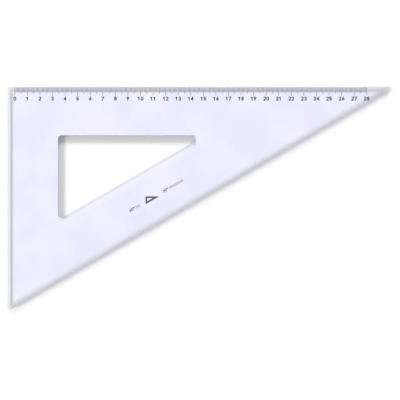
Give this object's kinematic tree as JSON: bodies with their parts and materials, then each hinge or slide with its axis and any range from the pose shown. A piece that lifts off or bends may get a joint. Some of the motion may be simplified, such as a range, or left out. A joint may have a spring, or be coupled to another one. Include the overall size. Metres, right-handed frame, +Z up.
{
  "type": "drafting triangle",
  "caption": "Flat clear 30-60-90 drafting triangle with a triangular cut-out, a printed centimetre scale along its long leg and stepped inking edges.",
  "frame": {"origin": "middle of the triangle's bounding box, on the underside that lies on the paper", "axes": "+X along the long, graduated leg towards the 30 degree tip, +Y from the foot to that leg, +Z up out of the printed face"},
  "size_m": [0.3042, 0.1766, 0.0026],
  "materials": {
    "clear_plastic": "clear polished moulded plastic with a pale blue-violet tint",
    "ink": "matte dark grey printed ink"
  },
  "bodies": {
    "root": {"plate": "clear_plastic", "centimetre_lines": "ink", "half_centimetre_lines": "ink", "millimetre_lines": "ink", "foot_angle_mark": "ink", "set_square_mark": "ink", "tip_angle_mark": "ink", "numeral_0": "ink", "numeral_1": "ink", "numeral_2": "ink", "numeral_3": "ink", "numeral_4": "ink", "numeral_5": "ink", "numeral_6": "ink", "numeral_7": "ink", "numeral_8": "ink", "numeral_9": "ink", "numeral_10": "ink", "numeral_11": "ink", "numeral_12": "ink", "numeral_13": "ink", "numeral_14": "ink", "numeral_15": "ink", "numeral_16": "ink", "numeral_17": "ink", "numeral_18": "ink", "numeral_19": "ink", "numeral_20": "ink", "numeral_21": "ink", "numeral_22": "ink", "numeral_23": "ink", "numeral_24": "ink", "numeral_25": "ink", "numeral_26": "ink", "numeral_27": "ink", "numeral_28": "ink"}
  },
  "joints": []
}
